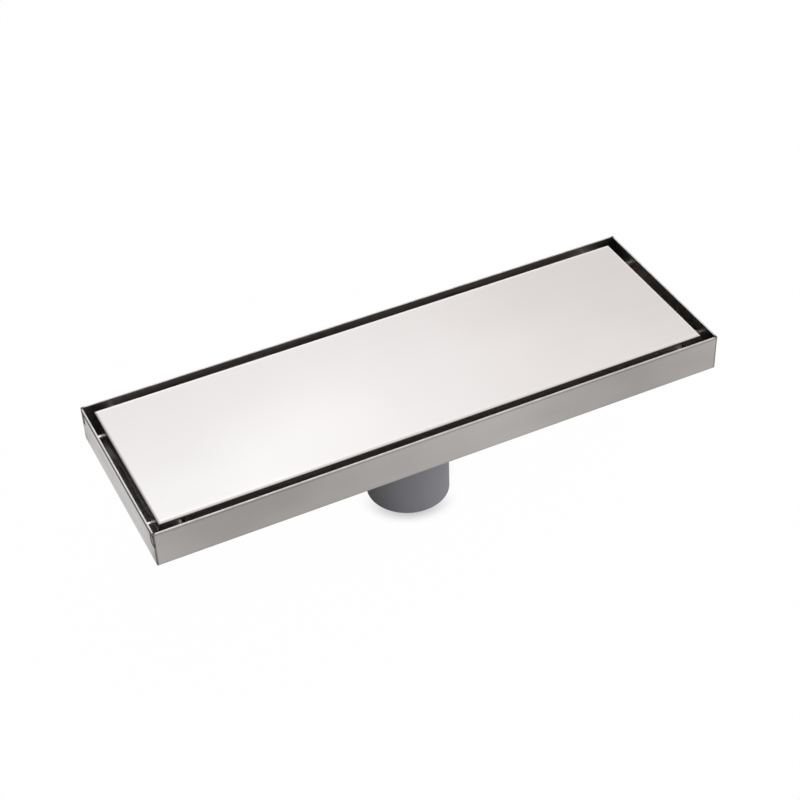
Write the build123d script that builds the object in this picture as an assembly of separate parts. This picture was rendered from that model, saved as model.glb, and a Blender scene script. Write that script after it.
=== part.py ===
from build123d import *
import os

# A linear shower floor drain, in millimetres.
# Origin: the centre of the outlet's lower end. X runs along the tray, +Z is up.

# Tray: one folded stainless sheet
drain_height = 76.0          # rim above the outlet's lower end
tray_length = 300.0
tray_width = 100.0
tray_depth = 20.4            # rim to the underside of the floor at the walls
tray_sheet = 0.8
tray_bend = 0.8              # inside radius of the fold between wall and floor
tray_corner = 0.4            # rounding of the welded upright corners
rim_break = 0.25             # rounding of the rim's two edges
floor_fall = 1.5             # from the walls to the sump
crease_margin = 1.0          # flat strip between the fold and the floor's creases
sump_margin = 1.5            # flat floor around the pressed recess
recess_draft = 1.0           # how far the recess opens out towards its mouth

# Slit tabs at the tray's upright corners
tab_width = 3.4
tab_height = 8.0
slit = 0.6
slit_top = 1.0               # unslit strip under the rim
seam = 0.5                   # side of the square groove along each welded corner

# Cover: one folded stainless pan, plate side up
cover_gap = 4.75             # clear gap between the cover and the tray when it is centred
cover_depth = 7.0
cover_sheet = 1.0
cover_bend = 0.3             # inside radius of its folds
cover_corner = 0.5           # rounding of its upright corners
cover_sink = 0.2             # plate below the rim
cover_shift = -0.6           # the loose cover lies pushed towards one end

# Rest pins, welded to the tray's walls
pin_diameter = 2.0
pin_inset = 16.0             # from the tray's corners
pin_overhang = 1.5           # past the inside of the cover's skirt
pin_tip_break = 0.3
weld_size = 0.5

# Outlet: moulded plastic flange and spigot
pipe_diameter = 43.0
pipe_wall = 2.2
pipe_end_break = 0.8
thread_rise = 0.6            # crest of the threaded neck above the plain pipe
thread_length = 17.5         # below the tray
flange_width = 10.0
flange_thickness = 2.5
flange_clearance = 1.0       # between the flange and the recess's foot
hole_clearance = 0.5         # between the threaded neck and the hole in the tray

# Clamping pieces
gasket_thickness = 1.5
gasket_inset = 0.5           # the gasket's edge inside the flange's edge
washer_thickness = 1.5
washer_width = 8.0
nut_height = 9.0
nut_wall = 6.0
nut_lugs = 8
nut_lug_width = 6.0
nut_lug_rise = 2.5
nut_break = 0.6
thread_clearance = 0.15

# Odour trap: funnel with dip tube, cup and sealing ring
lip_width = 4.5              # funnel lip past the outlet's bore
lip_thickness = 1.2
lip_clearance = 0.3
collar_depth = 8.0
collar_wall = 1.2
ring_section = 1.8
funnel_drop = 6.0
dip_bore = 13.6
dip_wall = 1.2
dip_rise = 6.0               # dip tube's end above the cup's floor
cup_foot = 8.0               # cup above the outlet's lower end
cup_clearance = 2.8          # between the cup and the outlet's bore
cup_wall = 1.2
cup_edge = 2.0
overflow_gap = 4.0           # between the cup's rim and the funnel
hub_wall = 1.8
hub_height = 6.0
hub_clearance = 0.1
hub_spokes = 3
spoke_width = 2.0

# Hair strainer: stamped star that lies on the outlet's flange
strainer_sheet = 1.0
strainer_inset = 1.0         # its edge inside the flange's edge
strainer_rim = 5.0
strainer_bars = 8
strainer_bar_width = 2.0
strainer_hub = 5.0           # radius

# Heights that follow from the sizes above
rim_z = drain_height
tray_base_z = rim_z - tray_depth
wall_floor_z = tray_base_z + tray_sheet
sump_z = wall_floor_z - floor_fall
recess_depth = gasket_thickness + flange_thickness
recess_z = sump_z - recess_depth
flange_z = recess_z + gasket_thickness
recess_under_z = recess_z - tray_sheet
thread_end_z = recess_under_z - thread_length
washer_z = recess_under_z - washer_thickness
nut_z = washer_z - nut_height
plate_z = rim_z - cover_sink
pin_top_z = plate_z - cover_depth
collar_z = sump_z - collar_depth
dip_top_z = collar_z - funnel_drop
cup_rim_z = dip_top_z - overflow_gap
cup_floor_z = cup_foot + cup_wall
dip_end_z = cup_floor_z + dip_rise

# Radii and plan sizes that follow
tray_bend_outer = tray_bend + tray_sheet
pipe_radius = pipe_diameter / 2
bore_radius = pipe_radius - pipe_wall
thread_radius = pipe_radius + thread_rise
hole_radius = thread_radius + hole_clearance
flange_radius = thread_radius + flange_width
recess_radius = flange_radius + flange_clearance
mouth_radius = recess_radius + recess_draft
sump_side = 2 * (mouth_radius + sump_margin)
crease_inset = tray_bend_outer + crease_margin
cover_length = tray_length - 2 * (tray_sheet + cover_gap)
cover_width = tray_width - 2 * (tray_sheet + cover_gap)
pin_length = cover_gap + abs(cover_shift) + cover_sheet + pin_overhang
lip_radius = bore_radius + lip_width
collar_radius = bore_radius - ring_section
throat_radius = collar_radius - collar_wall
dip_radius = dip_bore / 2
dip_outer = dip_radius + dip_wall
cup_radius = bore_radius - cup_clearance
hub_radius = dip_outer + hub_clearance
strainer_radius = flange_radius - strainer_inset


def block(length, width, height, base_z):
    """A sharp-cornered block that stands on base_z."""
    return Pos(0, 0, base_z) * extrude(Rectangle(length, width), height)


def eased(folded, length, width, corner):
    """Round the upright corners of a folded pan, whose folds meet in a mitre."""
    height = folded.bounding_box().size.Z
    base_z = folded.bounding_box().min.Z
    return folded & Pos(0, 0, base_z) * extrude(RectangleRounded(length, width, corner), height)


def turned(outline):
    """Turn a closed outline of (radius, height) points about Z."""
    return revolve(Plane.XZ * make_face(Polyline(*outline, close=True)), Axis.Z)


def ring(inner, outer, low, high):
    """A plain flat ring."""
    return turned([(inner, low), (outer, low), (outer, high), (inner, high)])


def dish(top_z):
    """The floor's dished part, from its outer creases down to the square sump."""
    upper = Pos(0, 0, top_z) * Rectangle(tray_length - 2 * crease_inset, tray_width - 2 * crease_inset)
    lower = Pos(0, 0, top_z - floor_fall) * Rectangle(sump_side, sump_side)
    return loft([upper, lower], ruled=True)


def press(top_z, spread):
    """The round recess pressed into the sump, as a solid below top_z."""
    centre_z = top_z - recess_depth / 2
    return Pos(0, 0, centre_z) * Cone(recess_radius + spread, mouth_radius + spread, recess_depth)


def corner_slits(end, side):
    """The cuts at one upright corner: the slit round its tab and the groove along its seam."""
    wall_x = end * tray_length / 2
    wall_y = side * tray_width / 2
    top_z = rim_z - slit_top
    slit_height = tab_height - slit_top
    foot_z = top_z - slit_height
    through = 3 * tray_sheet
    slit_y = wall_y - side * (tab_width + slit / 2)
    upright = Pos(wall_x, slit_y, top_z - slit_height / 2) * Box(through, slit, slit_height)
    foot_length = tab_width + slit - tray_sheet
    foot_y = wall_y - side * (tray_sheet + foot_length / 2)
    foot = Pos(wall_x, foot_y, foot_z) * Box(through, foot_length, slit)
    edge = tray_corner * (1 - 2 ** -0.5)
    groove_height = top_z - tray_base_z - tray_bend_outer
    groove = Box(seam, seam, groove_height, align=(Align.CENTER, Align.CENTER, Align.MAX))
    return upright + foot + Pos(wall_x - end * edge, wall_y - side * edge, top_z) * Rot(0, 0, 45) * groove


def make_tray():
    outer = block(tray_length, tray_width, tray_depth, tray_base_z)
    outer = fillet(outer.faces().sort_by(Axis.Z)[0].edges(), tray_bend_outer)
    outer = eased(outer, tray_length, tray_width, tray_corner)
    inner = block(tray_length - 2 * tray_sheet, tray_width - 2 * tray_sheet, tray_depth, wall_floor_z)
    inner = fillet(inner.faces().sort_by(Axis.Z)[0].edges(), tray_bend)
    outer += dish(tray_base_z) + press(sump_z - tray_sheet, tray_sheet)
    inner += dish(wall_floor_z) + press(sump_z, 0)
    tray = outer - inner
    tray = fillet(tray.faces().sort_by(Axis.Z)[-1].edges(), rim_break)
    tray -= Pos(0, 0, recess_z) * Cylinder(hole_radius, 4 * tray_sheet)
    for end in (-1, 1):
        for side in (-1, 1):
            tray -= corner_slits(end, side)
    return tray


def make_cover():
    outer = block(cover_length, cover_width, cover_depth, pin_top_z)
    outer = fillet(outer.faces().sort_by(Axis.Z)[-1].edges(), cover_bend + cover_sheet)
    outer = eased(outer, cover_length, cover_width, cover_corner)
    hollow_length = cover_length - 2 * cover_sheet
    hollow_width = cover_width - 2 * cover_sheet
    inner = block(hollow_length, hollow_width, cover_depth, pin_top_z - cover_sheet)
    inner = fillet(inner.faces().sort_by(Axis.Z)[-1].edges(), cover_bend)
    return Pos(cover_shift, 0, 0) * (outer - inner)


def make_pin():
    """One rest pin with its weld collar, standing on the origin along +Z."""
    radius = pin_diameter / 2
    return turned([
        (0, 0),
        (radius + weld_size, 0),
        (radius, weld_size),
        (radius, pin_length - pin_tip_break),
        (radius - pin_tip_break, pin_length),
        (0, pin_length),
    ])


def rest_pins():
    """Every rest pin by name: two on each wall, pointing inwards."""
    walls = {
        "left": (-1, 0),
        "right": (1, 0),
        "front": (0, -1),
        "back": (0, 1),
    }
    half_x = tray_length / 2 - tray_sheet
    half_y = tray_width / 2 - tray_sheet
    along_x = tray_length / 2 - pin_inset
    along_y = tray_width / 2 - pin_inset
    pin = make_pin()
    pins = {}
    for wall, (nx, ny) in walls.items():
        ends = ("front", "back") if nx else ("left", "right")
        for end, sign in zip(ends, (-1, 1)):
            x = nx * half_x + (1 - abs(nx)) * sign * along_x
            y = ny * half_y + (1 - abs(ny)) * sign * along_y
            seat = Plane(origin=(x, y, pin_top_z - pin_diameter / 2), z_dir=(-nx, -ny, 0))
            pins[f"rest_pin_{wall}_{end}"] = seat.location * pin
    return pins


def make_outlet():
    seat_radius = lip_radius + lip_clearance
    seat_z = sump_z - lip_thickness
    return turned([
        (bore_radius, 0),
        (pipe_radius - pipe_end_break, 0),
        (pipe_radius, pipe_end_break),
        (pipe_radius, thread_end_z - thread_rise),
        (thread_radius, thread_end_z),
        (thread_radius, flange_z),
        (flange_radius, flange_z),
        (flange_radius, sump_z),
        (seat_radius, sump_z),
        (seat_radius, seat_z),
        (bore_radius, seat_z),
    ])


def make_nut():
    bore = thread_radius + thread_clearance
    outer = bore + nut_wall
    lug_length = outer + nut_lug_rise
    outline = Circle(outer)
    for lug in PolarLocations(lug_length / 2, nut_lugs):
        outline += lug * Rectangle(lug_length, nut_lug_width)
    nut = extrude(outline - Circle(bore), nut_height)
    ends = nut.faces().filter_by(Axis.Z).edges()
    return Pos(0, 0, nut_z) * chamfer(ends, nut_break)


def make_funnel():
    return turned([
        (throat_radius, sump_z),
        (lip_radius, sump_z),
        (lip_radius, sump_z - lip_thickness),
        (collar_radius, sump_z - lip_thickness),
        (collar_radius, collar_z),
        (dip_outer, dip_top_z),
        (dip_outer, dip_end_z),
        (dip_radius, dip_end_z),
        (dip_radius, dip_top_z + dip_wall),
        (throat_radius, collar_z + collar_wall),
    ])


def make_o_ring():
    """The ring lies under the funnel's lip, between its collar and the outlet's bore."""
    centre_z = sump_z - lip_thickness - ring_section / 2
    return Pos(0, 0, centre_z) * Torus(bore_radius - ring_section / 2, ring_section / 2)


def make_cup():
    shell = Pos(0, 0, cup_foot) * extrude(Circle(cup_radius), cup_rim_z - cup_foot)
    shell = fillet(shell.faces().sort_by(Axis.Z)[0].edges(), cup_edge)
    hollow = Pos(0, 0, cup_floor_z) * extrude(Circle(cup_radius - cup_wall), cup_rim_z - cup_floor_z)
    hollow = fillet(hollow.faces().sort_by(Axis.Z)[0].edges(), cup_edge - cup_wall)
    cup = shell - hollow
    spoke_radius = cup_radius - cup_wall / 2
    spokes = Circle(hub_radius + hub_wall)
    for spoke in PolarLocations(spoke_radius / 2, hub_spokes):
        spokes += spoke * Rectangle(spoke_radius, spoke_width)
    spokes -= Circle(hub_radius)
    return cup + Pos(0, 0, cup_rim_z - hub_height) * extrude(spokes, hub_height)


def make_strainer():
    star = Circle(strainer_radius) - Circle(strainer_radius - strainer_rim)
    star += Circle(strainer_hub)
    bar_length = strainer_radius - strainer_rim / 2
    for bar in PolarLocations(bar_length / 2, strainer_bars):
        star += bar * Rectangle(bar_length, strainer_bar_width)
    return Pos(0, 0, sump_z) * extrude(star, strainer_sheet)


pieces = {
    "tray": make_tray(),
    "cover": make_cover(),
    "outlet_body": make_outlet(),
    "flange_gasket": ring(hole_radius, flange_radius - gasket_inset, recess_z, flange_z),
    "nut_washer": ring(hole_radius, hole_radius + washer_width, washer_z, recess_under_z),
    "lock_nut": make_nut(),
    "trap_funnel": make_funnel(),
    "trap_cup": make_cup(),
    "trap_o_ring": make_o_ring(),
    "hair_strainer": make_strainer(),
}
pieces.update(rest_pins())

os.makedirs("parts", exist_ok=True)
for name, piece in pieces.items():
    export_step(piece, f"parts/{name}.step")
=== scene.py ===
import math
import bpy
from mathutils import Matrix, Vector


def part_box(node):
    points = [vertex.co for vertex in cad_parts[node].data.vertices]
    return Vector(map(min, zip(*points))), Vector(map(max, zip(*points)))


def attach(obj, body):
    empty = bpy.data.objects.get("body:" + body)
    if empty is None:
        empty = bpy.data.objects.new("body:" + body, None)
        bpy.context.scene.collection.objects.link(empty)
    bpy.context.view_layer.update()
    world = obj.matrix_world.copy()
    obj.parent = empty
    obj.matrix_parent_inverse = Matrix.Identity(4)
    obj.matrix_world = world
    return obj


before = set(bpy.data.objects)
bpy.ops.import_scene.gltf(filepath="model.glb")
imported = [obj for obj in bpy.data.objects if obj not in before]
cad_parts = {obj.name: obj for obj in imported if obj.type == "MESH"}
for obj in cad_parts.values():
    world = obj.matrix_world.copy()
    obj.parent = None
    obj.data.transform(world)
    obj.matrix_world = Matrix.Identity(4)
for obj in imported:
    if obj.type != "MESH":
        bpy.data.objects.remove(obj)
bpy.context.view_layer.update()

from types import SimpleNamespace

import bmesh
import bpy
from mathutils import Matrix, Vector

# Camera, fitted to the photograph's edges; lengths are in metres
FRAME_PIXELS = 800
FOCAL_PIXELS = 1843.5
SENSOR_MM = 36.0
CAMERA_AZIMUTH = math.radians(-24.86)
CAMERA_ELEVATION = math.radians(39.985)
CAMERA_ROLL = math.radians(2.26)
CAMERA_DISTANCE = 0.8887
AIM_OFFSET = (-0.0112, -0.0186)      # aim point from the rim's centre

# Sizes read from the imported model
MM = 0.001
_, TRAY_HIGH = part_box("tray")
COVER_LOW, COVER_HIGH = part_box("cover")
COVER_MIDDLE = (COVER_LOW + COVER_HIGH) / 2
NUT_LOW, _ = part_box("lock_nut")
PIN_LOW, PIN_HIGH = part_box("rest_pin_front_right")
PIN_X = (PIN_LOW.x + PIN_HIGH.x) / 2
RIM_Z = TRAY_HIGH.z
HALF_LENGTH = TRAY_HIGH.x
HALF_WIDTH = TRAY_HIGH.y

# Slit tabs at the tray's corners, in millimetres
TAB_WIDTH = 3.4
TAB_HEIGHT = 8.0
TAB_SOFT = 0.2                       # half the width of the soft edge of the tabs' painted shade

# Turns of the outlet's thread that show below the nut
THREAD_RADIUS = 22.1 * MM
THREAD_RUN = 7.0 * MM
THREAD_PITCH = 2.0 * MM
THREAD_RISE = 0.45 * MM
THREAD_ROOT = 0.6 * MM               # half width at the root
THREAD_CREST = 0.2 * MM              # half width at the crest
THREAD_SINK = 0.1 * MM
STEPS_PER_TURN = 72
FADE_STEPS = 12
SHARP_ANGLE = 0.4                    # radians; edges that turn more are shaded sharp

# Colours of the tray's sheet
WALL_DARK = (0.310, 0.295, 0.284)
WALL_LIGHT = (0.465, 0.444, 0.430)
# The end walls are painted lighter than the long walls, as painted light
END_WALL = (0.53, 0.508, 0.494)
# Painted shade towards the end walls' corners
END_CORNER_SHADE = (0.25, 0.238, 0.23)
# Painted shade under the rim's edge
RIM_LINE = (0.035, 0.032, 0.030)
# Painted shade on the corner tabs
TAB_SHADE = (0.13, 0.123, 0.117)
# Painted shade in the slits and on their cut faces
SLIT_SHADE = (0.03, 0.027, 0.025)
# Darker low on the end walls by the corners
FOOT_DARK = (0.16, 0.150, 0.142)
# Painted shade along the corner seams
SEAM_SHADE = (0.085, 0.074, 0.064)
# The inside's long walls are painted paler than the outside walls, as painted light in the gap
INSIDE_DARK = (0.62, 0.575, 0.56)
INSIDE_LIGHT = (0.70, 0.655, 0.64)
# Painted shade at the inside's ends and corner nooks
INSIDE_END_SHADE = (0.41, 0.36, 0.35)
INSIDE_NOOK_SHADE = (0.12, 0.106, 0.102)
# The rim is partly a bright cut edge and partly a painted highlight
RIM_EDGE_DIM = (0.46, 0.443, 0.430)
RIM_BRIGHT = (0.62, 0.602, 0.588)
RIM_TIP = (0.20, 0.187, 0.178)
RIM_PARTED = (0.07, 0.065, 0.062)
BARE_TINT = (1.0, 1.0, 1.0)          # colour of reflections at a low angle
# Reflection tint where shade is painted
SHADE_TINT = (0.45, 0.45, 0.45)

# Colours of the cover's sheet
PLATE_DARK = (0.634, 0.596, 0.578)
PLATE_LIGHT = (0.713, 0.673, 0.655)
# A painted highlight just inside the plate's edges
PLATE_EDGE_HIGHLIGHT = (0.72, 0.685, 0.665)
# Painted shade on the cover's folds
END_FOLD_SHADE = (0.34, 0.33, 0.32)
SIDE_FOLD_SHADE = (0.08, 0.075, 0.072)
# The skirt is painted darker than the plate, as painted shade in the gap
SKIRT_END_LOW = (0.42, 0.36, 0.35)
SKIRT_END_HIGH = (0.11, 0.096, 0.094)
SKIRT_SIDE = (0.47, 0.435, 0.42)
# A painted highlight on the skirt beside the pins
SKIRT_PIN_HIGHLIGHT = (0.64, 0.61, 0.60)

# Studio
WHITE = (1.0, 1.0, 1.0)
FLOOR_HALF = 6.0
FLOOR_TONE = 0.64
FLOOR_ROUGHNESS = 0.9
FLOOR_GLOW = 0.99                    # share of the floor's white that doesn't depend on the lamps
CONTACT_REACH = 9.0 * MM
CONTACT_CLOSE = 0.45                 # openness of the floor where its shadow is full
CONTACT_SHADE = 0.44                 # how much the floor darkens right at the object's foot
SHADE_AXIS = (-0.42, -0.907)         # the contact shadow is strongest along this line
SHADE_START = 4.0 * MM               # from the outlet's axis, along that line
SHADE_END = 24.0 * MM
SHADE_LEAST = 0.05                   # share of the shadow that is left beside the line
UNDER_SOFT = 20.0 * MM               # soft edge of the shaded floor under the tray
WORLD_DIM = 0.05
WORLD_BRIGHT = 1.35
WORLD_SIDE = (0.906, -0.423, 0.0)    # the brighter side
WORLD_DIM_AT = -0.45                 # along that side, where the light begins to grow
WORLD_BRIGHT_AT = -0.05              # and where it is full

# Lamps: name, place, width and height, power, colour
LAMPS = (
    ("sweep", (0.20, 1.10, 1.50), (0.8, 0.6), 1.9, (0.80, 0.90, 1.0)),
    ("fill", (1.3, 0.12, 0.24), (0.9, 0.4), 6.2, WHITE),
    ("edge", (0.45, 1.4, 0.24), (1.2, 0.3), 2.0, WHITE),
)


class Graph:
    """Short helpers that add nodes to one node tree, which starts empty."""

    def __init__(self, tree):
        self.tree = tree
        tree.nodes.clear()

    def node(self, kind, **values):
        """Add a node and set its properties."""
        made = self.tree.nodes.new(kind)
        for key, value in values.items():
            setattr(made, key, value)
        return made

    def link(self, source, target):
        self.tree.links.new(source, target)

    def math(self, operation, first, second=None):
        """One sum on sockets or numbers."""
        made = self.node("ShaderNodeMath", operation=operation)
        for socket, value in zip(made.inputs, (first, second)):
            if value is None:
                continue
            if isinstance(value, (int, float)):
                socket.default_value = value
            else:
                self.link(value, socket)
        return made.outputs[0]

    def chain(self, operation, values):
        """Join sockets and numbers by one operation, from first to last."""
        total = values[0]
        for value in values[1:]:
            total = self.math(operation, total, value)
        return total

    def add(self, *values):
        return self.chain("ADD", values)

    def times(self, *values):
        return self.chain("MULTIPLY", values)

    def most(self, *values):
        return self.chain("MAXIMUM", values)

    def less(self, first, second):
        return self.math("SUBTRACT", first, second)

    def inverse(self, value):
        return self.less(1.0, value)

    def size(self, value):
        return self.math("ABSOLUTE", value)

    def ramp(self, value, low, high, start=0.0, end=1.0):
        """Map value from low..high to start..end with a smooth step, clamped."""
        made = self.node("ShaderNodeMapRange", interpolation_type="SMOOTHSTEP")
        self.link(value, made.inputs["Value"])
        made.inputs["From Min"].default_value = low
        made.inputs["From Max"].default_value = high
        made.inputs["To Min"].default_value = start
        made.inputs["To Max"].default_value = end
        return made.outputs["Result"]

    def band(self, value, low, high, soft):
        """1 from low to high, falling to 0 over soft on both sides."""
        rise = self.ramp(value, low - soft, low)
        fall = self.ramp(value, high, high + soft, 1.0, 0.0)
        return self.times(rise, fall)


class Finish(Graph):
    """A new material's tree, with a Principled shader as its surface."""

    def __init__(self, name):
        self.material = bpy.data.materials.new(name)
        self.material.use_nodes = True
        super().__init__(self.material.node_tree)
        self.output = self.node("ShaderNodeOutputMaterial")
        self.surface = self.node("ShaderNodeBsdfPrincipled")
        self.link(self.surface.outputs["BSDF"], self.output.inputs["Surface"])

    def position(self):
        return self.node("ShaderNodeNewGeometry").outputs["Position"]

    def normal(self):
        return self.node("ShaderNodeNewGeometry").outputs["Normal"]

    def parts(self, vector):
        """The X, Y and Z of a vector."""
        made = self.node("ShaderNodeSeparateXYZ")
        self.link(vector, made.inputs["Vector"])
        return made.outputs["X"], made.outputs["Y"], made.outputs["Z"]

    def noise(self, scale, detail=3.0, roughness=0.55, stretch=(1.0, 1.0, 1.0)):
        """Noise fixed in space; a larger stretch makes it finer along that axis."""
        mapping = self.node("ShaderNodeMapping")
        mapping.inputs["Scale"].default_value = stretch
        self.link(self.position(), mapping.inputs["Vector"])
        made = self.node("ShaderNodeTexNoise")
        made.inputs["Scale"].default_value = scale
        made.inputs["Detail"].default_value = detail
        made.inputs["Roughness"].default_value = roughness
        self.link(mapping.outputs["Vector"], made.inputs["Vector"])
        return made.outputs["Fac"]

    def mix(self, factor, first, second):
        """Blend two colours, each a tuple or a socket."""
        made = self.node("ShaderNodeMix", data_type="RGBA")
        self.link(factor, made.inputs["Factor"])
        colours = [socket for socket in made.inputs if socket.type == "RGBA"]
        for socket, value in zip(colours, (first, second)):
            if isinstance(value, tuple):
                socket.default_value = (*value, 1.0)
            else:
                self.link(value, socket)
        return next(socket for socket in made.outputs if socket.type == "RGBA")

    def bump(self, height, strength, distance):
        """Roughen the surface's normal by a height."""
        made = self.node("ShaderNodeBump")
        made.inputs["Strength"].default_value = strength
        made.inputs["Distance"].default_value = distance
        self.link(height, made.inputs["Height"])
        self.link(made.outputs["Normal"], self.surface.inputs["Normal"])


def below_rim(depth):
    """The height that is depth millimetres below the tray's rim."""
    return RIM_Z - depth * MM


def in_from_side(inset):
    """The distance from the tray's axis that is inset millimetres in from a long side."""
    return HALF_WIDTH - inset * MM


def in_from_end(inset):
    """The distance from the tray's middle that is inset millimetres in from an end."""
    return HALF_LENGTH - inset * MM


def below_plate(depth):
    """The height that is depth millimetres below the top of the cover."""
    return COVER_HIGH.z - depth * MM


def tray_places(g):
    """Where a point lies on the tray and which way it faces.

    The socket corner is measured as across is: it reaches HALF_WIDTH at the tips of the four corners.
    """
    x, y, z = g.parts(g.position())
    nx, _, nz = g.parts(g.normal())
    along = g.size(x)
    across = g.size(y)
    return SimpleNamespace(
        x=x,
        y=y,
        z=z,
        along=along,
        across=across,
        corner=g.math("MINIMUM", g.less(along, HALF_LENGTH - HALF_WIDTH), across),
        end_face=g.ramp(g.size(nx), 0.5, 0.8),
        upright=g.ramp(g.size(nz), 0.4, 0.8, 1.0, 0.0),
    )


def brushed(g, upright):
    """Fine lines along the sheet: level on the walls, and along X where the sheet lies flat."""
    on_wall = g.noise(60.0, 4.0, 0.6, (0.35, 0.35, 22.0))
    on_flat = g.noise(60.0, 4.0, 0.6, (0.35, 22.0, 0.35))
    return g.add(g.times(on_wall, upright), g.times(on_flat, g.inverse(upright)))


def wall_colour(g, at, lines, clouds):
    """Broad clouds along the walls, end walls painted lighter as painted light, and painted shade on the
    bottom fold and towards the end walls' corners.
    """
    # Lighter near the middle and towards one end, and painted shade on the fold
    swell = g.math("SINE", g.add(g.times(at.x, 26.2), 0.78))
    fold = g.ramp(at.z, below_rim(20.2), below_rim(18.2), -0.35, 0.0)
    tone = g.add(
        clouds,
        g.times(swell, 0.16),
        g.times(g.less(lines, 0.5), 0.30),
        g.times(g.band(at.x, -30 * MM, 10 * MM, 50 * MM), 0.17),
        g.ramp(at.x, 95 * MM, 125 * MM, 0.0, 0.16),
        g.ramp(at.z, below_rim(18), below_rim(2), 0.03, -0.03),
        g.times(fold, at.upright),
    )
    colour = g.mix(g.ramp(tone, 0.05, 0.95), WALL_DARK, WALL_LIGHT)

    # The end walls are painted lighter, as painted light, in level streaks, with painted shade towards
    # the corners
    streaks = g.ramp(g.noise(60.0, 3.0, 0.6, (0.3, 0.3, 6.0)), 0.35, 0.65, 0.35, 0.85)
    lit = g.times(at.end_face, streaks, g.ramp(at.z, below_rim(20), below_rim(17.5)))
    colour = g.mix(lit, colour, END_WALL)
    corner_shade = g.times(g.ramp(at.across, in_from_side(22), in_from_side(3), 0.0, 0.32), at.end_face)
    return g.mix(corner_shade, colour, END_CORNER_SHADE)


def rim_line(g, at):
    """A line of painted shade under the rim's edge, where the bright rim ends: strong on the end walls,
    faint on the long ones.
    """
    on_end = g.times(g.band(at.z, below_rim(2.5), below_rim(0.65), 0.2 * MM), at.end_face)
    on_side = g.times(g.band(at.z, below_rim(1.3), below_rim(0.8), 0.15 * MM), 0.35)
    return g.most(on_end, on_side)


def corner_marks(g, at):
    """Painted shade on the corner tabs, in the slits beside and below them and along the seam, and a
    darker patch low on the wall under them.
    """
    # Painted shade on the corner tabs
    in_tab = g.ramp(at.z, below_rim(TAB_HEIGHT + TAB_SOFT), below_rim(TAB_HEIGHT - TAB_SOFT))
    on_tab = g.ramp(at.across, in_from_side(TAB_WIDTH + TAB_SOFT), in_from_side(TAB_WIDTH - TAB_SOFT))
    tab = g.times(at.end_face, in_tab, on_tab, 0.8)

    # Painted shade in the slits, as seen on the end wall
    beside = g.times(
        g.band(at.across, in_from_side(4.7), in_from_side(3.3), 0.2 * MM),
        g.ramp(at.z, below_rim(8.6), below_rim(3.0), 0.6, 1.0),
        g.ramp(at.z, below_rim(9.0), below_rim(8.4)),
    )
    below = g.times(g.band(at.z, below_rim(8.7), below_rim(7.7), 0.25 * MM), on_tab, 0.95)
    on_wall = g.times(at.end_face, g.most(beside, below))

    # Painted shade on their cut faces, which lie across the end wall's sheet
    cut = g.times(
        g.inverse(at.end_face),
        g.ramp(at.along, in_from_end(1.0), in_from_end(0.9)),
        g.ramp(at.across, in_from_side(1.2), in_from_side(1.1), 1.0, 0.0),
        g.band(at.z, below_rim(10), below_rim(0.95), 0.05 * MM),
    )

    # Darker low on the end wall by the corner
    foot = g.times(
        g.ramp(at.across, in_from_side(8), in_from_side(3)),
        at.end_face,
        0.55,
        g.ramp(at.z, below_rim(16), below_rim(11), 1.0, 0.0),
    )
    # Painted shade along the corner seam, in spots beside the tabs
    spots = g.ramp(g.noise(420.0, 2.0, 0.5), 0.45, 0.62, 0.25, 0.95)
    seam = g.times(
        g.ramp(at.corner, in_from_side(1.2), in_from_side(0.5)),
        at.upright,
        g.most(g.times(in_tab, spots), 0.7),
    )
    return SimpleNamespace(tab=tab, slits=g.most(on_wall, cut), foot=foot, seam=seam)


def inner_faces(g, at):
    """1 on the walls' inner faces above the floor, and 0 on their outer faces."""
    inside_x = g.ramp(at.along, in_from_end(0.8), in_from_end(0.4), 1.0, 0.0)
    inside_y = g.ramp(at.across, in_from_side(0.8), in_from_side(0.4), 1.0, 0.0)
    above = g.ramp(at.z, below_rim(20.0), below_rim(19.6))
    return g.times(inside_x, inside_y, above)


def inside_colour(g, at, clouds):
    """Long walls painted paler than the outside walls, as painted light in the gap; end walls and corner
    nooks painted darker, as painted shade.
    """
    colour = g.mix(g.ramp(clouds, 0.3, 0.7), INSIDE_DARK, INSIDE_LIGHT)
    colour = g.mix(at.end_face, colour, INSIDE_END_SHADE)
    nook_shade = g.ramp(at.corner, in_from_side(20), in_from_side(4), 0.0, 0.8)
    return g.mix(nook_shade, colour, INSIDE_NOOK_SHADE)


def rim_colour(g, at):
    """Bright cut edge, partly a painted highlight, darker towards its four tips, least at the front left,
    and dark where they part.
    """
    rim_patches = g.ramp(g.noise(160.0, 3.0, 0.6), 0.3, 0.7)
    colour = g.mix(rim_patches, RIM_EDGE_DIM, RIM_BRIGHT)
    tip = g.ramp(at.corner, in_from_side(3.2), in_from_side(0.8))
    to_right = g.ramp(at.x, -HALF_LENGTH, HALF_LENGTH, 0.2, 1.0)
    to_back = g.ramp(at.y, 0.0, HALF_WIDTH, 0.2, 1.0)
    colour = g.mix(g.times(tip, g.most(to_right, to_back)), colour, RIM_TIP)
    parted = g.ramp(at.corner, in_from_side(1.7), in_from_side(0.9), 0.0, 0.9)
    return g.mix(parted, colour, RIM_PARTED)


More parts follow.
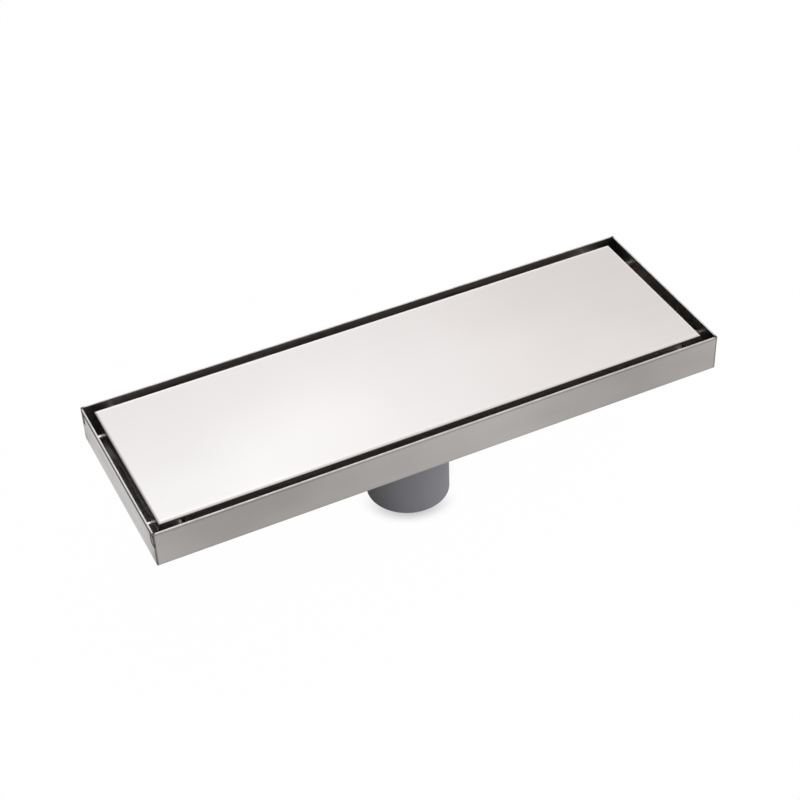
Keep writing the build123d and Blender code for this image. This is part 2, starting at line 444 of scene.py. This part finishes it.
def tray_steel():
    """Rolled sheet: cloudy brushed walls, a bright cut rim that is partly a painted highlight, painted
    shade at the slit corners and under the rim, and its own inside with painted light and shade.
    """
    g = Finish("tray_steel")
    s = g.surface
    s.inputs["Metallic"].default_value = 1.0
    at = tray_places(g)
    lines = brushed(g, at.upright)
    clouds = g.noise(14.0, 2.0, 0.5, (0.8, 0.8, 1.6))
    under_rim = rim_line(g, at)
    marks = corner_marks(g, at)
    inside = g.times(inner_faces(g, at), g.inverse(marks.slits))
    rim = g.ramp(at.z, below_rim(0.45), below_rim(0.15))

    colour = wall_colour(g, at, lines, clouds)
    # Painted shade under the rim, on the tabs, in the slits and along the seams, and darker low by the
    # corners
    colour = g.mix(under_rim, colour, RIM_LINE)
    colour = g.mix(marks.tab, colour, TAB_SHADE)
    colour = g.mix(marks.slits, colour, SLIT_SHADE)
    colour = g.mix(marks.foot, colour, FOOT_DARK)
    colour = g.mix(marks.seam, colour, SEAM_SHADE)
    # The inside: painted light on its long walls, painted shade at its ends and nooks
    colour = g.mix(inside, colour, inside_colour(g, at, clouds))
    # The rim: a bright cut edge, partly a painted highlight
    colour = g.mix(rim, colour, rim_colour(g, at))
    g.link(colour, s.inputs["Base Color"])

    # Where shade is painted, under the rim, in the slits and on the tabs, the sheet also loses the bright
    # edge that bare steel has at a low angle
    dark = g.most(under_rim, marks.slits, g.times(marks.tab, 0.7))
    dark = g.times(dark, g.inverse(rim))
    g.link(g.mix(dark, BARE_TINT, SHADE_TINT), s.inputs["Specular Tint"])
    g.link(g.ramp(lines, 0.3, 0.7, 0.28, 0.42), s.inputs["Roughness"])
    g.bump(lines, 0.08, 0.2 * MM)
    return g.material


def cover_places(g):
    """Where a point lies on the cover; from_end and from_side are 0 at its edges and negative inside."""
    x, y, z = g.parts(g.position())
    along = g.size(g.less(x, COVER_MIDDLE.x))
    across = g.size(g.less(y, COVER_MIDDLE.y))
    return SimpleNamespace(
        x=x,
        y=y,
        z=z,
        from_end=g.less(along, COVER_HIGH.x - COVER_MIDDLE.x),
        from_side=g.less(across, COVER_HIGH.y - COVER_MIDDLE.y),
    )


def plate_colour(g, at, lines):
    """Satin plate, painted lighter towards the front and darker towards both ends as painted light, with
    painted highlights inside its edges and painted shade on its folds.
    """
    # Random clouds and lines, and painted light: lighter towards the front, darker towards both ends
    tone = g.add(
        g.noise(9.0, 2.0, 0.5),
        g.times(g.less(lines, 0.5), 0.3),
        g.ramp(at.y, COVER_LOW.y, COVER_HIGH.y, 0.17, -0.17),
        g.ramp(at.x, COVER_LOW.x, COVER_LOW.x + 80 * MM, -0.22, 0.12),
        g.ramp(at.x, 0.0, COVER_HIGH.x, 0.0, -0.22),
    )
    colour = g.mix(g.ramp(tone, 0.1, 0.9), PLATE_DARK, PLATE_LIGHT)

    # A painted highlight just inside the edge along the sides and the right end, and painted shade on the
    # fold at the left end
    left = g.ramp(at.x, -10 * MM, 10 * MM, 1.0, 0.0)
    side_highlight = g.band(at.from_side, -2.0 * MM, -0.9 * MM, 0.4 * MM)
    end_highlight = g.times(g.band(at.from_end, -1.6 * MM, -0.4 * MM, 0.4 * MM), g.inverse(left))
    colour = g.mix(g.most(side_highlight, end_highlight), colour, PLATE_EDGE_HIGHLIGHT)
    end_fold_shade = g.times(g.ramp(at.from_end, -1.1 * MM, -0.5 * MM, 0.0, 0.6), left)
    colour = g.mix(end_fold_shade, colour, END_FOLD_SHADE)
    # Painted shade on the folds along the sides
    side_fold_shade = g.ramp(at.from_side, -0.42 * MM, -0.05 * MM)
    return g.mix(side_fold_shade, colour, SIDE_FOLD_SHADE)


def skirt_colour(g, at, beside_pins):
    """The skirt, painted darker than the plate as painted shade, most upwards at the ends, and with a
    painted highlight beside the pins on the sides.
    """
    upper = g.ramp(at.z, below_plate(6.5), below_plate(3))
    on_end = g.mix(upper, SKIRT_END_LOW, SKIRT_END_HIGH)
    on_side = g.mix(beside_pins, SKIRT_SIDE, SKIRT_PIN_HIGHLIGHT)
    return g.mix(g.ramp(at.from_end, -0.5 * MM, -0.2 * MM), on_side, on_end)


def cover_steel():
    """Fine satin plate, with a skirt painted darker as painted shade, which is smoother and carries a
    painted highlight beside the pins.
    """
    g = Finish("cover_steel")
    s = g.surface
    s.inputs["Metallic"].default_value = 1.0
    at = cover_places(g)
    lines = g.noise(70.0, 4.0, 0.6, (0.3, 24.0, 24.0))
    skirt = g.ramp(at.z, below_plate(1.6), below_plate(0.9), 1.0, 0.0)
    # A painted highlight on the skirt beside the pins, which is also smoother there
    beside_pins = g.band(g.size(at.x), PIN_X - 0.9 * MM, PIN_X + 0.9 * MM, 0.8 * MM)
    colour = g.mix(skirt, plate_colour(g, at, lines), skirt_colour(g, at, beside_pins))
    g.link(colour, s.inputs["Base Color"])
    smooth = g.inverse(g.times(beside_pins, skirt, 0.65))
    g.link(g.times(g.ramp(lines, 0.3, 0.7, 0.32, 0.40), smooth), s.inputs["Roughness"])
    g.bump(lines, 0.03, 0.2 * MM)
    return g.material


def bright_steel(name, dark, light, rough_low, rough_high):
    """Plain steel with a fine grain."""
    g = Finish(name)
    s = g.surface
    s.inputs["Metallic"].default_value = 1.0
    grain = g.noise(900.0, 3.0)
    g.link(g.mix(grain, dark, light), s.inputs["Base Color"])
    g.link(g.ramp(grain, 0.3, 0.7, rough_low, rough_high), s.inputs["Roughness"])
    g.bump(grain, 0.05, 0.1 * MM)
    return g.material


def plastic(name, dark, light, rough_low, rough_high, gloss=0.5):
    """Moulded plastic or rubber: slightly clouded, with a fine grain."""
    g = Finish(name)
    s = g.surface
    s.inputs["Specular IOR Level"].default_value = gloss
    grain = g.noise(1400.0, 3.0)
    clouds = g.noise(30.0, 3.0)
    g.link(g.mix(g.ramp(clouds, 0.3, 0.7), dark, light), s.inputs["Base Color"])
    g.link(g.ramp(clouds, 0.3, 0.7, rough_low, rough_high), s.inputs["Roughness"])
    g.bump(grain, 0.08, 0.1 * MM)
    return g.material


def dress(grey):
    """Give every CAD node its finish."""
    pin = bright_steel("pin_steel", (0.90, 0.89, 0.88), (0.97, 0.965, 0.96), 0.10, 0.18)
    stamped = bright_steel("strainer_steel", (0.64, 0.63, 0.61), (0.76, 0.75, 0.73), 0.22, 0.34)
    pale = plastic("trap_plastic", (0.66, 0.66, 0.64), (0.72, 0.72, 0.70), 0.35, 0.45)
    rubber = plastic("seal_rubber", (0.018, 0.018, 0.018), (0.03, 0.03, 0.03), 0.6, 0.75)
    finishes = {
        "tray": tray_steel(),
        "cover": cover_steel(),
        "outlet_body": grey,
        "lock_nut": grey,
        "nut_washer": plastic("washer_plastic", (0.5, 0.5, 0.48), (0.56, 0.56, 0.54), 0.4, 0.5),
        "flange_gasket": rubber,
        "trap_o_ring": rubber,
        "trap_funnel": pale,
        "trap_cup": pale,
        "hair_strainer": stamped,
    }
    for name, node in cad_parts.items():
        node.data.materials.clear()
        node.data.materials.append(finishes.get(name, pin))


def make_thread(grey):
    """The helical ridge on the outlet's neck, from its lower end up to the nut."""
    profile = (
        (-THREAD_ROOT, -THREAD_SINK),
        (-THREAD_CREST, THREAD_RISE),
        (THREAD_CREST, THREAD_RISE),
        (THREAD_ROOT, -THREAD_SINK),
    )
    start_z = NUT_LOW.z - THREAD_RUN + THREAD_ROOT
    climb = THREAD_RUN - 2 * THREAD_ROOT
    steps = int(STEPS_PER_TURN * climb / THREAD_PITCH)
    build = bmesh.new()
    rings = []
    for step in range(steps + 1):
        turns = step / STEPS_PER_TURN
        angle = 2 * math.pi * turns
        fade = min(1.0, step / FADE_STEPS, (steps - step) / FADE_STEPS)
        ring = []
        for axial, rise in profile:
            radius = THREAD_RADIUS + (rise * fade if rise > 0 else rise)
            height = start_z + THREAD_PITCH * turns + axial
            ring.append(build.verts.new((radius * math.cos(angle), radius * math.sin(angle), height)))
        rings.append(ring)
    for lower, upper in zip(rings, rings[1:]):
        for this in range(len(profile)):
            after = (this + 1) % len(profile)
            build.faces.new((lower[this], lower[after], upper[after], upper[this]))
    build.faces.new(rings[0])
    build.faces.new(rings[-1])
    bmesh.ops.recalc_face_normals(build, faces=build.faces)
    for face in build.faces:
        face.smooth = True
    for edge in build.edges:
        edge.smooth = edge.calc_face_angle(0.0) < SHARP_ANGLE
    mesh = bpy.data.meshes.new("outlet_thread")
    build.to_mesh(mesh)
    build.free()
    mesh.materials.append(grey)
    thread = bpy.data.objects.new("outlet_thread", mesh)
    bpy.context.scene.collection.objects.link(thread)
    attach(thread, "root")


def seen_directly(g, share, mirrored=None):
    """A factor of share for rays from the camera, mirrors or glass, and 0 for diffuse light.

    The socket mirrored, where given, scales the factor for mirror rays.
    """
    path = g.node("ShaderNodeLightPath")
    glossy = path.outputs["Is Glossy Ray"]
    if mirrored is not None:
        glossy = g.times(glossy, mirrored)
    total = g.most(path.outputs["Is Camera Ray"], path.outputs["Is Transmission Ray"], glossy)
    return g.times(total, share)


def make_floor():
    """A white floor with a contact shadow at the object's foot.

    The camera sees it as plain white, and so do mirrors away from the tray. Diffuse light, and mirrors
    under the tray, see it as the lamps light it.
    """
    mesh = bpy.data.meshes.new("studio_floor")
    build = bmesh.new()
    bmesh.ops.create_grid(build, x_segments=1, y_segments=1, size=FLOOR_HALF)
    build.to_mesh(mesh)
    build.free()
    floor = bpy.data.objects.new("studio_floor", mesh)
    bpy.context.scene.collection.objects.link(floor)
    g = Finish("studio_floor")
    g.surface.inputs["Base Color"].default_value = (FLOOR_TONE, FLOOR_TONE, FLOOR_TONE, 1.0)
    g.surface.inputs["Roughness"].default_value = FLOOR_ROUGHNESS
    contact = g.node("ShaderNodeAmbientOcclusion")
    contact.inputs["Distance"].default_value = CONTACT_REACH
    x, y, _ = g.parts(g.position())
    towards = g.add(g.times(x, SHADE_AXIS[0]), g.times(y, SHADE_AXIS[1]))
    lean = g.ramp(g.size(towards), SHADE_START, SHADE_END, SHADE_LEAST, 1.0)
    shade = g.times(g.ramp(contact.outputs["AO"], CONTACT_CLOSE, 1.0, CONTACT_SHADE, 0.0), lean)
    glow = g.node("ShaderNodeEmission")
    g.link(g.inverse(shade), glow.inputs["Strength"])
    under_x = g.ramp(g.size(x), HALF_LENGTH - UNDER_SOFT, HALF_LENGTH, 1.0, 0.0)
    under_y = g.ramp(g.size(y), HALF_WIDTH - UNDER_SOFT, HALF_WIDTH, 1.0, 0.0)
    clear = g.inverse(g.times(under_x, under_y))
    blend = g.node("ShaderNodeMixShader")
    g.link(seen_directly(g, FLOOR_GLOW, clear), blend.inputs["Fac"])
    g.link(g.surface.outputs["BSDF"], blend.inputs[1])
    g.link(glow.outputs["Emission"], blend.inputs[2])
    g.link(blend.outputs["Shader"], g.output.inputs["Surface"])
    mesh.materials.append(g.material)


def make_world():
    """White wherever it is seen; as soft light it is dimmer from the left than from the right."""
    world = bpy.data.worlds.new("studio")
    bpy.context.scene.world = world
    world.use_nodes = True
    g = Graph(world.node_tree)
    output = g.node("ShaderNodeOutputWorld")
    direction = g.node("ShaderNodeTexCoord")
    sideways = g.node("ShaderNodeVectorMath", operation="DOT_PRODUCT")
    sideways.inputs[1].default_value = WORLD_SIDE
    g.link(direction.outputs["Generated"], sideways.inputs[0])
    level = g.ramp(sideways.outputs["Value"], WORLD_DIM_AT, WORLD_BRIGHT_AT, WORLD_DIM, WORLD_BRIGHT)
    soft = g.node("ShaderNodeBackground")
    soft.inputs["Color"].default_value = (*WHITE, 1.0)
    g.link(level, soft.inputs["Strength"])
    white = g.node("ShaderNodeBackground")
    white.inputs["Color"].default_value = (*WHITE, 1.0)
    blend = g.node("ShaderNodeMixShader")
    g.link(seen_directly(g, 1.0), blend.inputs["Fac"])
    g.link(soft.outputs["Background"], blend.inputs[1])
    g.link(white.outputs["Background"], blend.inputs[2])
    g.link(blend.outputs["Shader"], output.inputs["Surface"])


def area_light(name, place, size, power, colour):
    """A soft rectangular lamp that faces the middle of the object."""
    data = bpy.data.lights.new(name, "AREA")
    data.shape = "RECTANGLE"
    data.size, data.size_y = size
    data.energy = power
    data.color = colour
    lamp = bpy.data.objects.new(name, data)
    lamp.location = place
    towards = Vector((0, 0, RIM_Z)) - Vector(place)
    lamp.rotation_euler = towards.to_track_quat("-Z", "Y").to_euler()
    lamp.visible_camera = False
    bpy.context.scene.collection.objects.link(lamp)


def make_camera():
    """The photograph's camera, from its fitted direction, roll, distance and aim."""
    forward = Vector((
        -math.sin(CAMERA_AZIMUTH) * math.cos(CAMERA_ELEVATION),
        math.cos(CAMERA_AZIMUTH) * math.cos(CAMERA_ELEVATION),
        -math.sin(CAMERA_ELEVATION),
    ))
    level = forward.cross(Vector((0, 0, 1))).normalized()
    down = forward.cross(level)
    right = math.cos(CAMERA_ROLL) * level + math.sin(CAMERA_ROLL) * down
    up = math.sin(CAMERA_ROLL) * level - math.cos(CAMERA_ROLL) * down
    aim = Vector((*AIM_OFFSET, RIM_Z))
    data = bpy.data.cameras.new("camera")
    data.sensor_width = SENSOR_MM
    data.lens = SENSOR_MM * FOCAL_PIXELS / FRAME_PIXELS
    camera = bpy.data.objects.new("camera", data)
    turn = Matrix((right, up, -forward)).transposed().to_4x4()
    camera.matrix_world = Matrix.Translation(aim - CAMERA_DISTANCE * forward) @ turn
    bpy.context.scene.collection.objects.link(camera)
    bpy.context.scene.camera = camera


grey_plastic = plastic("grey_plastic", (0.219, 0.217, 0.236), (0.236, 0.234, 0.254), 0.40, 0.48, 0.12)
dress(grey_plastic)
make_thread(grey_plastic)
make_floor()
make_world()
for lamp in LAMPS:
    area_light(*lamp)
make_camera()

bpy.context.scene.view_settings.view_transform = "Standard"
